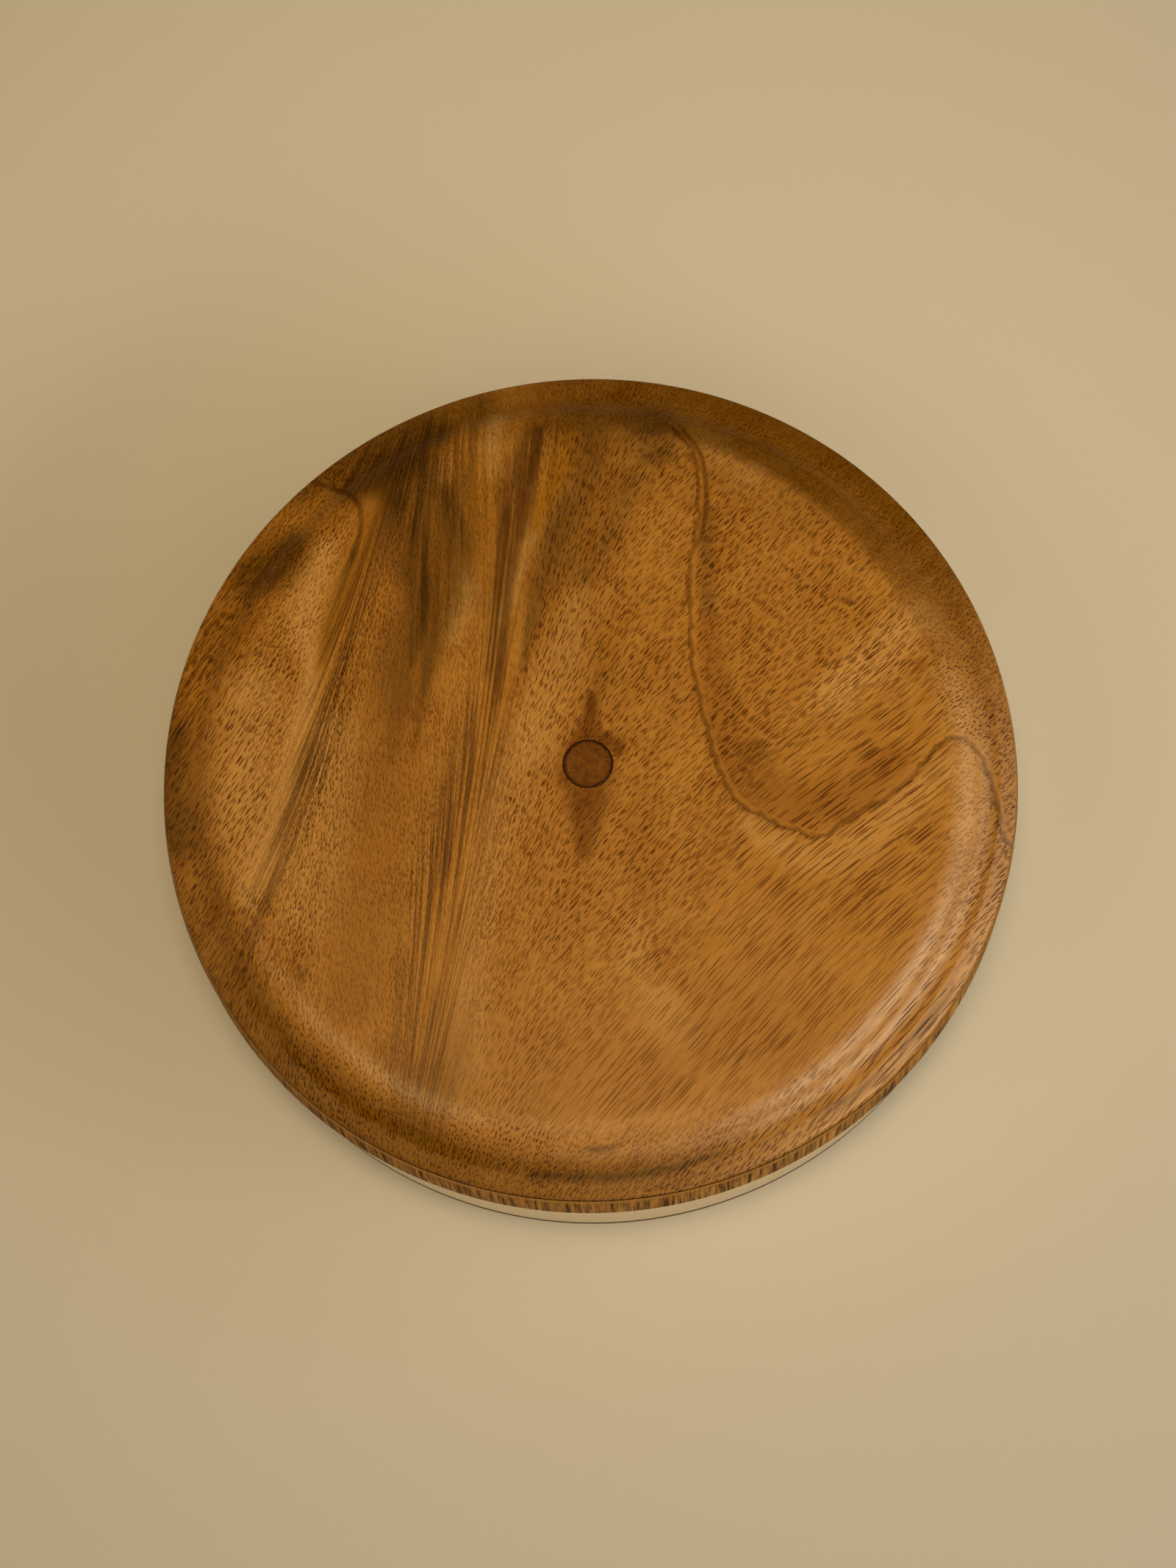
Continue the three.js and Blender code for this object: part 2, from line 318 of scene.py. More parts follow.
def moulded_silicone(name, colour_code, dusty_code):
    """Silicone rubber from a fine sparked mould: even and dull, with a soft sheen at a low angle."""
    silicone, tree = material(name)
    place = add(tree, "TexCoord")["Object"]
    sparked = {"Vector": place, "Scale": 1 / (MOULD_GRAIN * MM), "Detail": 2.0}
    grain = add(tree, "TexNoise", sparked)[0]
    patches = {"Vector": place, "Scale": 1 / (DUST_PATCH * MM), "Detail": 3.0}
    cloud = add(tree, "TexNoise", patches)[0]
    dust = add(tree, "MapRange", {0: cloud, 1: 0.4, 2: 0.75})[0]
    colours = {0: dust, 6: linear(colour_code), 7: linear(dusty_code)}
    colour = add(tree, "Mix", colours, data_type="RGBA")[2]
    bump = add(tree, "Bump", {"Strength": 0.35, "Distance": MOULD_DEPTH * MM, "Height": grain})[0]
    rough = add(tree, "MapRange", {0: grain, 3: 0.62, 4: 0.78})[0]
    shader = add(tree, "BsdfPrincipled", {
        "Base Color": colour,
        "Roughness": rough,
        "IOR": 1.41,
        "Normal": bump,
    })[0]
    add(tree, "OutputMaterial", {"Surface": shader})
    return silicone


foot_radius, foot_bottom, foot_top = extent("foot_ring")
foot_bore = foot_radius - FOOT_WIDTH
foot = turned("moulded_foot_ring", [
    (foot_bore + FOOT_ROUND, foot_bottom),
    (foot_radius - FOOT_ROUND, foot_bottom),
    *bend((foot_radius - FOOT_ROUND, foot_bottom), FOOT_ROUND, 180, 90, 5),
    (foot_radius, foot_top),
    (foot_bore, foot_top),
    (foot_bore, foot_bottom + FOOT_ROUND),
    *bend((foot_bore, foot_bottom + FOOT_ROUND), FOOT_ROUND, 270, 180, 5),
])
foot_rubber = moulded_silicone("foot_silicone_rubber", FOOT_SILICONE, FOOT_SILICONE_DUSTY)
foot.data.materials.append(foot_rubber)
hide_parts("foot_ring")
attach(foot, "box")

# Lid crown
# The top of the lid: one plain-sawn acacia board turned to a slightly domed face, a round shoulder,
# a cove and a small flange, then sanded and oiled. It was held by the hole in its middle.
CROWN_EDGE = 2.4
EDGE_ROUND = 1.3
UNDER_ROUND = 0.3
FLANGE_WIDTH = 3.6
FLANGE_TILT = 23.0
CREASE_ROUND = 1.5
COVE_TILT = 8.0
COVE_RADIUS = 11.0
OGEE_TILT = 42.0
SHOULDER_RADIUS = 15.0
FACE_TILT = 4.1
HOLE_RADIUS = 6.7
CROWN_SIDES = 360
FACE_RINGS = 64
crown_radius, crown_bottom = extent("lid_crown")[:2]
edge_top = crown_bottom + CROWN_EDGE
edge_round = bend((crown_radius, edge_top), EDGE_ROUND, 90, FLANGE_TILT, 8)
flange_outer = edge_round[-1]
flange_rise = FLANGE_WIDTH * math.tan(math.radians(FLANGE_TILT))
flange_inner = (flange_outer[0] - FLANGE_WIDTH, flange_outer[1] + flange_rise)
crease = bend(flange_inner, CREASE_ROUND, FLANGE_TILT, COVE_TILT, 4)
cove = bend(crease[-1], -COVE_RADIUS, COVE_TILT, OGEE_TILT, 10)
shoulder = bend(cove[-1], SHOULDER_RADIUS, OGEE_TILT, FACE_TILT, 14)
face_radius = shoulder[-1][0] / math.sin(math.radians(FACE_TILT))
hole_tilt = math.degrees(math.asin(HOLE_RADIUS / face_radius))
face = bend(shoulder[-1], face_radius, FACE_TILT, hole_tilt, FACE_RINGS)
crown = turned("turned_crown", [
    (HOLE_RADIUS, crown_bottom),
    *run((HOLE_RADIUS, crown_bottom), (crown_radius - UNDER_ROUND, crown_bottom), 40),
    *bend((crown_radius - UNDER_ROUND, crown_bottom), UNDER_ROUND, 180, 90, 4),
    *run((crown_radius, crown_bottom + UNDER_ROUND), (crown_radius, edge_top), 4),
    *edge_round,
    *run(flange_outer, flange_inner, 3),
    *crease,
    *cove,
    *shoulder,
    *face,
], CROWN_SIDES)

# The figure of this board, in millimetres from the axis of the lid, with +Y away from the front. Each
# mark has a depth and a path whose points carry their half width. The painted shade and dirt in the cove
# and the painted shade on the far shoulder are given by the angle round the lid instead. Lines are paths
# alone.
MARK_CORE = 0.3
MARK_REACH = 1.7
SMOKE_AND_RIM_SHADE = [
    (0.9, [(-35, 100, 6), (-43, 92, 9), (-50, 89, 9), (-55, 87, 6)]),
    (0.6, [(-42, 88, 7), (-43, 80, 6)]),
    (0.5, [(-70, 90, 6), (-55, 98, 6), (-40, 103, 6), (-20, 107, 5)]),
    (0.75, [(-75, 70, 6), (-79, 66, 8), (-85, 64, 6)]),
    (0.25, [(-86, 64, 6), (-93, 52, 5), (-99, 40, 4)]),
    (0.22, [(-10, 96, 12), (20, 90, 14), (48, 80, 12), (62, 66, 8)]),
    (0.15, [(0, 62, 12), (0, 40, 12), (6, 22, 8)]),
    (0.7, [(-39, 84, 7), (-38, 72, 10), (-38.5, 62, 9), (-39.5, 53, 5), (-41.5, 43, 2.2),
           (-44, 32, 0.8)]),
    (0.12, [(-46, 40, 8), (-52, 10, 13), (-60, -25, 13), (-66, -55, 9)]),
    (0.3, [(-38, 82, 8), (-38, 64, 10), (-41, 48, 9), (-45, 32, 6), (-49, 18, 3), (-52, 6, 1)]),
    (0.28, [(-32, 50, 8), (-42, 38, 9), (-47, 25, 8)]),
    (0.5, [(-31, 80, 2.5), (-29.5, 66, 3.5), (-32, 53, 3.5), (-36, 42, 3), (-40, 30, 1.8),
           (-43, 20, 1), (-46, 8, 0.5)]),
    (0.4, [(-57, 66, 1.6), (-61, 54, 2), (-65, 44, 1.6), (-68, 36, 1.2)]),
    (0.4, [(-15, 74, 1.2), (-16.5, 67, 2.2), (-18, 58, 2.8), (-20, 48, 2.3), (-22, 38, 1.8),
           (-24, 27, 1.4)]),
    (0.4, [(-4, 93, 1.4), (-7.5, 84, 2), (-10, 74, 2), (-12, 66, 1.4)]),
    (0.5, [(0, 99, 6), (12, 96, 9), (26, 95, 7)]),
    (0.55, [(11, 92, 4), (6, 80, 5), (0, 68, 5), (-5, 58, 5.5), (-9, 48, 3.6), (-12, 38, 1.8),
            (-15, 27, 0.7)]),
    (0.4, [(16, 78, 6), (9, 64, 6), (3, 54, 5)]),
    (0.5, [(29, 86, 3), (24, 85, 2)]),
    (0.4, [(39, 68, 2), (37, 54, 2.6), (36, 40, 2)]),
    # Dark wood, and painted shade where the left rim faces away from the lamps.
    (0.6, [(-110, 22, 5), (-112, 8, 6), (-110, -8, 5)]),
    (0.6, [(-80.5, -47, 1.1), (-79.5, -50, 0.9)]),
    (0.3, [(-37, -8, 1.4), (-39, -18, 1.8), (-42, -28, 1.4)]),
    (0.35, [(45, 0, 3), (42, -2, 2)]),
    (0.6, [(74, -82, 0.6), (82, -75, 0.9), (90, -66.5, 0.6)]),
    (0.5, [(50, -97, 0.8), (62, -92, 0.8), (68, -87, 0.6)]),
    # Painted shade in the crease of the cove at the front.
    (0.55, [(-24, -106, 0.9), (-8, -108.2, 1), (8, -108, 1), (24, -105, 0.8)]),
    (0.5, [(-10, -101.2, 0.7), (-6, -101.5, 1), (-2, -101.2, 0.7)]),
]
AMBER = [
    (0.75, [(-48, 83, 1.6), (-51, 75, 2.4), (-56, 63, 3.2), (-60, 54, 3), (-65, 44, 2.2),
            (-69, 34, 1.4)]),
    (0.9, [(4, 95, 3), (0, 85, 3.2), (-4, 77, 2.8), (-8, 68, 1.6)]),
    (0.6, [(-22, 88, 4), (-23, 74, 4.5), (-24, 64, 3.5), (-25, 56, 2.5)]),
    (0.4, [(10, 37, 2.5), (8, 28, 2), (6, 20, 1.5)]),
]
PALE = [
    (0.8, [(-16, 102, 2.5), (-18, 92, 2.2), (-19, 84, 1.6)]),
    (0.6, [(-7, 71, 1.5), (-11, 62, 2), (-15, 52, 1.8), (-19, 42, 1.5)]),
    (0.7, [(-26, 56, 2.5), (-30, 47, 3), (-33, 39, 2.5)]),
    (0.7, [(-65, 68, 3), (-70, 56, 4), (-73, 46, 4), (-71, 34, 2.5), (-75, 20, 3), (-80, 4, 3),
           (-86, -10, 3.5), (-92, -26, 4)]),
    (0.45, [(2, 45, 4), (-4, 30, 5), (-14, 10, 6), (-22, -8, 6), (-32, -40, 4), (-38, -76, 5)]),
    (0.5, [(40, -20, 3), (50, -28, 4), (62, -31, 5), (76, -23, 4.5), (92, -9, 4)]),
    (0.35, [(8, -45, 3), (8, -60, 4), (18, -74, 5)]),
    (0.7, [(92, 33, 5), (78, 22, 6), (66, 12, 5)]),
    (0.4, [(42, 87, 4), (52, 77, 4)]),
    (0.5, [(98, 14, 5), (102, -5, 6), (98, -25, 5)]),
    (0.65, [(-88, 28, 9), (-92, 6, 9), (-90, -15, 8)]),
    (0.5, [(-66, 14, 8), (-70, -4, 8), (-76, -30, 8)]),
]
RUSSET = [
    (0.4, [(-40, 66, 6), (-43, 50, 8), (-46, 40, 8), (-49, 25, 8), (-52, 5, 9), (-58, -18, 8),
           (-64, -38, 8), (-67, -58, 6)]),
    (0.55, [(-60, -70, 4), (-54, -80, 4)]),
    (0.8, [(36, 36, 3), (36, 15, 4.5), (40, -4, 5.5), (50, -14, 6.5), (64, -16, 5), (80, -6, 4)]),
    (0.35, [(14, -10, 4), (12, -25, 5), (12, -38, 4)]),
    (0.25, [(-34, -78, 11), (0, -84, 11), (40, -74, 12)]),
]
LINE_BUNDLES = [
    (0.8, [(-46, 80, 2.5), (-52, 64, 3.5), (-58, 48, 4), (-63, 36, 4.5), (-69, 20, 5), (-74, 5, 4)]),
    (0.6, [(-72, 10, 4), (-78, -5, 4.5), (-84, -18, 4), (-89, -29, 3), (-93, -38, 2),
           (-96, -46, 0.8)]),
    (0.8, [(-5, 94, 4), (-12, 80, 5), (-15, 66, 4), (-19, 48, 4), (-23, 28, 5), (-28, 8, 7),
           (-35, -12, 8), (-41, -32, 9), (-45, -52, 9), (-48, -72, 9), (-50, -86, 8)]),
    (0.5, [(-30, 96, 6), (-31, 84, 6)]),
    (0.4, [(-22, 98, 5), (-24, 80, 6), (-26, 64, 5), (-30, 50, 4)]),
    (0.3, [(3, 94, 4), (-3, 80, 4), (-8, 66, 3)]),
    (0.5, [(-52, 76, 3), (-58, 60, 4), (-66, 42, 3)]),
    (0.6, [(-99, 50, 5), (-104, 36, 5), (-107, 20, 4)]),
    (0.2, [(-52, 40, 6), (-56, 20, 7), (-62, -5, 7)]),
]
CALM = [
    (0.4, [(-16, 102, 18), (-26, 80, 18), (-31, 60, 16), (-38, 40, 13), (-47, 20, 12), (-53, 0, 11),
           (-58, -20, 11), (-63, -40, 11), (-66, -62, 9)]),
    (0.55, [(-12, 72, 6), (-21, 30, 6), (-31, -5, 7), (-41, -40, 8), (-47, -78, 8)]),
    (0.6, [(-50, 82, 5), (-58, 60, 5), (-68, 35, 4), (-77, 8, 4), (-88, -22, 4)]),
    (0.1, [(0, 10, 4), (0, 0, 7), (-2, -10, 6), (-4, -24, 4)]),
]
PLUG_STAIN = [
    (0.75, [(0.2, 4, 6), (0.8, 8, 4.4), (1.2, 11, 2.8), (1.8, 14, 2), (2.6, 18, 1.5)]),
    (0.3, [(2.4, 14, 2), (4, 19, 1.8), (6, 25, 1.5)]),
    (0.6, [(-0.8, -4, 6.4), (-1.2, -9, 5.6), (-1.8, -14, 4.4), (-2.6, -19, 3.2), (-3.4, -24, 2.2)]),
    (0.3, [(-0.6, -4, 6), (-1.2, -10, 4.6)]),
    (0.2, [(-5.6, -9, 1.6), (-4.9, -14, 1.6), (-4.4, -17, 1.2)]),
    (0.15, [(3, -10, 1.5), (1.6, -14, 1.5), (0.8, -17, 1.2)]),
    (0.7, [(5.4, 6.4, 2), (8.2, 4.8, 2), (8.6, 2.6, 1.4)]),
    (0.5, [(-6.8, -1, 1.2), (-6.6, -5, 1.2)]),
]
# Painted shade on the far shoulder, which faces away from the lamps: its depth by the angle round the
# lid.
FAR_SHOULDER_SHADE = [
    (0, 0.0), (15, 0.2), (30, 0.7), (45, 0.85), (60, 0.85), (75, 0.65), (88, 0.4), (97, 0.15),
    (108, 0.15), (116, 0.35), (135, 0.1), (150, 0.0), (360, 0.0),
]
# Dirt and painted shade in the cove and on the flange: its depth by the angle round the lid.
COVE_DIRT_AND_SHADE = [
    (0, 0.25), (15, 0.35), (30, 0.5), (60, 0.6), (90, 0.6), (120, 0.1), (150, 0.0), (180, 0.2),
    (210, 0.8), (240, 0.9), (270, 0.6), (285, 0.3), (300, 0.0), (335, 0.0), (350, 0.2), (360, 0.25),
]
GROWTH_LINE = [
    (32, 93), (35.5, 88), (37, 82), (36.5, 72), (34.2, 60), (32, 51), (31, 40), (30, 28),
    (30.6, 18), (32, 7), (34, -4), (38, -14), (46, -20), (54, -24), (58.5, -25.6), (63, -23.4),
    (70, -19.4), (78, -16), (86, -10), (92, -3.6), (98, -1.5), (102, -3.6), (105, -9), (106.5, -18),
    (107, -27), (109, -30),
]
GROWTH_TWIN = [
    (34.5, 92), (38.5, 84), (38.6, 72), (36.5, 62), (34, 58),
]
EDGE_LINE = [
    (-68, 91), (-63, 88), (-58, 84.5), (-54.8, 79), (-55.2, 72), (-58, 64),
]
VEIN = [
    (-45, 86), (-47.5, 79), (-52, 66), (-58, 51), (-64, 36), (-69, 23.5), (-74, 11), (-79, 0),
    (-84, -11),
]


def eased(path, steps=6):
    """The same path with its corners rounded, still through all of its points."""
    points = np.array([path[0], *path, path[-1]], dtype=float)
    finer = [points[1]]
    for before, start, end, after in zip(points, points[1:], points[2:], points[3:]):
        leaving = (end - before) / 2
        arriving = (after - start) / 2
        for t in np.linspace(0, 1, steps + 1)[1:]:
            rise = t * t * (3 - 2 * t)
            swing = leaving * t * (1 - t) ** 2 - arriving * t * t * (1 - t)
            finer.append(start + (end - start) * rise + swing)
    return np.array(finer)


def follow(path, x, y):
    """Distance of each point from a path, positive on its left, in millimetres, and the number of the
    path point that is nearest, with its fraction."""
    nearest = np.full(x.shape, np.inf)
    side = np.ones(x.shape)
    reached = np.zeros(x.shape)
    for number, ((x0, y0), (x1, y1)) in enumerate(zip(path, path[1:])):
        run_x, run_y = x1 - x0, y1 - y0
        part = np.clip(((x - x0) * run_x + (y - y0) * run_y) / (run_x ** 2 + run_y ** 2), 0, 1)
        distance = np.hypot(x - x0 - part * run_x, y - y0 - part * run_y)
        closer = distance < nearest
        nearest = np.where(closer, distance, nearest)
        side = np.where(closer, np.where(run_x * (y - y0) > run_y * (x - x0), 1, -1), side)
        reached = np.where(closer, number + part, reached)
    return nearest * side, reached


def smooth(value):
    """An even step from 0 to 1."""
    value = np.clip(value, 0, 1)
    return value * value * (3 - 2 * value)


def marks(features, x, y):
    """How deep each point lies in soft-edged marks, which are full inside the core of their half width
    and fade out over its reach."""
    clear = np.ones(x.shape)
    for depth, points in features:
        path = eased(points)
        distance, reached = follow(path[:, :2], x, y)
        half_width = np.interp(reached, np.arange(len(path)), path[:, 2])
        within = (MARK_REACH - np.abs(distance) / half_width) / (MARK_REACH - MARK_CORE)
        clear *= 1 - depth * smooth(within)
    return 1 - clear


def note(mesh, name, values):
    """Keeps one number for each point of a mesh."""
    layer = mesh.attributes.new(name, "FLOAT", "POINT")
    layer.data.foreach_set("value", np.asarray(values, dtype=np.float32))


board = crown.data
places = np.empty(len(board.vertices) * 3)
board.vertices.foreach_get("co", places)
x, y, z = places.reshape(-1, 3).T / MM
smoke_and_rim_shade = marks(SMOKE_AND_RIM_SHADE, x, y)
note(board, "smoke_and_rim_shade", smoke_and_rim_shade)
for name, tones in (
    ("amber", AMBER),
    ("pale", PALE),
    ("russet", RUSSET),
    ("line_bundle", LINE_BUNDLES),
):
    note(board, name, marks(tones, x, y))
stain = marks(PLUG_STAIN, x, y)
note(board, "plug_stain", stain)

# Wear, dirt and painted shade. Hands have worn the front of the face, and the pores are half closed on
# the shoulder at the lower right, partly by polish and partly as a painted highlight. Painted shade lies
# in the cove and on the far shoulder, with dirt in the cove and along the joint with the collar, and
# these take the shine off the oil there, as the far rim, the stain and the smoke do.
FRONT_WORN_FROM = 25.0
FRONT_FADE = 45.0
SHOULDER_HIGHLIGHT_ANGLE = 318.0
SHOULDER_HIGHLIGHT_HALF = 70.0
SHOULDER_HIGHLIGHT_FADE = 30.0
FAR_RIM_ANGLE = 112.0
FAR_RIM_HALF = 75.0
FAR_RIM_FADE = 25.0
SHOULDER_START = 93.0
SHOULDER_FADE = 5.0
COVE_START = 101.0
COVE_FADE = 6.0
COVE_MIDDLE = 106.0
COVE_HALF = 3.0
FLANGE_START = 108.5
FLANGE_FADE = 1.5
JOINT_DIRT_HEIGHT = 2.9
JOINT_DIRT_FADE = 0.8
JOINT_DIRT_FROM = 100.0
JOINT_DIRT_WIDTH = 10.0
radius = np.hypot(x, y)
angle = np.degrees(np.arctan2(y, x)) % 360
worn_flat = smooth((-y - FRONT_WORN_FROM) / FRONT_FADE)
worn_flat *= smooth((COVE_START + 1 - radius) / COVE_FADE)
# Fewer pores where the highlight lies on the lower right shoulder: partly polish, partly a painted
# highlight.
polish_and_highlight = smooth((SHOULDER_HIGHLIGHT_HALF - np.abs(angle - SHOULDER_HIGHLIGHT_ANGLE)) / SHOULDER_HIGHLIGHT_FADE)
polish_and_highlight *= smooth((radius - SHOULDER_START + 1) / SHOULDER_FADE)
polish_and_highlight *= smooth((COVE_MIDDLE + 1 - radius) / COVE_HALF)
cove_dirt_and_shade = np.interp(angle, *np.transpose(COVE_DIRT_AND_SHADE))
cove_dirt_and_shade *= smooth((radius - COVE_START) / COVE_FADE)
cove_dirt_and_shade *= 1 - 0.2 * smooth((radius - FLANGE_START) / FLANGE_FADE)
joint_dirt = 0.9 * smooth((crown_bottom + JOINT_DIRT_HEIGHT - z) / JOINT_DIRT_FADE)
joint_dirt *= smooth((radius - JOINT_DIRT_FROM) / JOINT_DIRT_WIDTH)
# Painted shade on the far shoulder, which also hides the pores there.
shoulder_shade = np.interp(angle, *np.transpose(FAR_SHOULDER_SHADE))
shoulder_shade *= smooth((radius - SHOULDER_START) / SHOULDER_FADE)
shoulder_shade *= 1 - 0.3 * smooth(1.4 - np.abs(radius - COVE_MIDDLE) / COVE_HALF)
covered = (1 - 0.3 * worn_flat) * (1 - 0.35 * polish_and_highlight) * (1 - 0.5 * shoulder_shade)
note(board, "pore_show", (1 - marks(CALM, x, y)) * covered)
# Dirt and painted shade together: the cove, the far shoulder and the joint with the collar.
rim_dirt_and_shade = 1 - (1 - cove_dirt_and_shade) * (1 - shoulder_shade) * (1 - joint_dirt)
far_rim = smooth((FAR_RIM_HALF - np.abs(angle - FAR_RIM_ANGLE)) / FAR_RIM_FADE)
far_rim *= smooth((radius - SHOULDER_START - 1) / SHOULDER_FADE)
note(board, "rim_dirt_and_shade", rim_dirt_and_shade)
note(board, "dulled", np.maximum.reduce([rim_dirt_and_shade, 0.75 * far_rim, 0.7 * stain, 0.5 * smoke_and_rim_shade]))
for name, path in (
    ("growth_side", GROWTH_LINE),
    ("growth_twin", GROWTH_TWIN),
    ("edge_line", EDGE_LINE),
    ("vein_side", VEIN),
):
    note(board, name, follow(eased(path), x, y)[0])

# The fibres lean to the right of the Y axis, least along a slanting valley left of the middle, more at
# the left, and most at the right, where they swirl round a spot.
VALLEY_LEAN = 5.0
VALLEY_SLANT = 0.3
VALLEY_OFFSET = 48.0
RIGHT_LEAN = 42.0
RIGHT_WIDTH = 66.0
LEFT_LEAN = 34.0
LEFT_WIDTH = 52.0
SWIRL_LEAN = 12.0
SWIRL_X = 72.0
SWIRL_Y = -15.0
SWIRL_REACH = 60.0


def lean_at(x, y):
    """How far the fibres lean, in radians."""
    valley = x - VALLEY_SLANT * y + VALLEY_OFFSET
    right = RIGHT_LEAN * smooth(valley / RIGHT_WIDTH)
    left = LEFT_LEAN * smooth(-valley / LEFT_WIDTH)
    swirl = SWIRL_LEAN * smooth(1 - np.hypot(x - SWIRL_X, y - SWIRL_Y) / SWIRL_REACH)
    return np.radians(VALLEY_LEAN + right + left + swirl)


# Where the fibre through each point crosses a base line, and how far along the fibre that is. The base
# line is level at the left and slopes down across the slanting fibres at the right.
BASE_CORNER = -20.0
FIBRE_STRIDES = 60
STRIDE_LIMIT = 4.0
lean = lean_at(x, y)
note(board, "grain_lean", lean)
foot_x, foot_y, along_fibre = x.copy(), y.copy(), np.zeros(x.shape)
for _ in range(FIBRE_STRIDES):
    sloping = foot_x > BASE_CORNER
    off = np.where(sloping, (foot_y + foot_x - BASE_CORNER) / math.sqrt(2), foot_y)
    turn = lean_at(foot_x, foot_y)
    facing = np.where(sloping, np.cos(turn - math.pi / 4), np.cos(turn))
    stride = np.clip(off / facing, -STRIDE_LIMIT, STRIDE_LIMIT)
    foot_x -= stride * np.sin(turn)
    foot_y -= stride * np.cos(turn)
    along_fibre += stride
beyond = np.maximum(foot_x - BASE_CORNER, 0)
note(board, "fibre_across", foot_x + (math.sqrt(2) - 1) * beyond)
note(board, "fibre_along", along_fibre)

# A pore shows as a line where the surface runs along the fibres and as a dot where it cuts them. The
# fibres dive into the face, steeply at the left and hardly at all at the lower right. Each row gives
# the degrees by which the dive eases, how far past its border a point lies, and the fade there.
PORE_BORE = 0.2
PORE_SHORTEST = 0.8
PORE_LONGEST = 12.0
DIVE_STEEPEST = 7.8
DIVE_LEAST = 0.8
ROUND_SHARE = 0.45  # of the tilt of the shoulder, which would otherwise leave only dots
ROUND_FADE = 5.0
LEFT_RIM_FROM = 78.0
LEFT_RIM_FADE = 14.0
dive = np.full(x.shape, DIVE_STEEPEST)
for eases, past, fade in (
    (2.9, x + 60, 60),
    (2.4, x - y - 10, 110),
    (3.6, -72 - x, 25),
    (1.7, -y - 45, 40),
    (2.0, 77 - np.hypot(x - 75, y + 35), 55),
):
    dive -= eases * smooth(past / fade)
dive = np.radians(np.maximum(dive, DIVE_LEAST))
normals = np.empty(len(board.vertices) * 3)
board.vertices.foreach_get("normal", normals)
normal_x, normal_y, normal_z = normals.reshape(-1, 3).T
tilt = np.degrees(np.arccos(np.clip(normal_z, -1, 1)))
facing = normal_x * np.sin(lean) + normal_y * np.cos(lean)
steep = facing * smooth((tilt - FACE_TILT) / ROUND_FADE)
steep *= 1 - 0.7 * smooth((-LEFT_RIM_FROM - x) / LEFT_RIM_FADE)
cut = np.hypot(ROUND_SHARE * steep, np.sin(dive))
note(board, "pore_length", np.clip(PORE_BORE / cut, PORE_SHORTEST, PORE_LONGEST))

# Oiled acacia: warm orange-brown heartwood with short dark pores, smoky stains and amber streaks
# along the grain, under a thin satin oil finish that softens every highlight. Painted shade darkens
# the cove, the far shoulder and parts of the rim.
WOOD_LIGHT = "#b47728"
WOOD_MID = "#935509"
WOOD_PALE = "#be853c"
WOOD_AMBER = "#a16305"
WOOD_RUSSET = "#8b5009"
# Multiplies in the smoke, and the painted shade of the rim marks in the smoke list.
SMOKE_AND_SHADE_TONE = "#706c2c"
VEIN_SHADE = "#aea684"
LINE_SHADE = "#8c7c54"
GROWTH_SHADE = "#b4a45c"
STAIN_SHADE = "#967814"
# Multiplies in the dirt and painted shade of the cove, the far shoulder and the joint.
DIRT_AND_SHADE_TONE = "#989480"
PORE_SHADE = "#806412"
OIL_TINT = "#fff0bc"
PORE_WIDTH = 0.37  # wider than the bore, so that it shows
PORE_DEPTH = 0.06
CLOUD_WIDTH = 16.67
STREAK_WIDTH = 2.381
STREAK_LENGTH = 45.45
THREAD_WIDTH = 1.3333
THREAD_LENGTH = 83.33
FLECK_WIDTH = 0.625
FLECK_LENGTH = 4.0
WAVER_LENGTH = 2.857
acacia, tree = material("oiled_acacia_board")
place = add(tree, "TexCoord")["Object"]
flat = add(tree, "VectorMath", {0: place, 1: (1 / MM, 1 / MM, 0)}, operation="MULTIPLY")[0]
noted = {}
for name in (
    "smoke_and_rim_shade", "amber", "pale", "russet", "line_bundle", "plug_stain", "rim_dirt_and_shade", "dulled",
    "growth_side", "growth_twin", "edge_line", "vein_side",
    "grain_lean", "fibre_across", "fibre_along", "pore_length", "pore_show",
):
    noted[name] = add(tree, "Attribute", attribute_name=name)["Fac"]

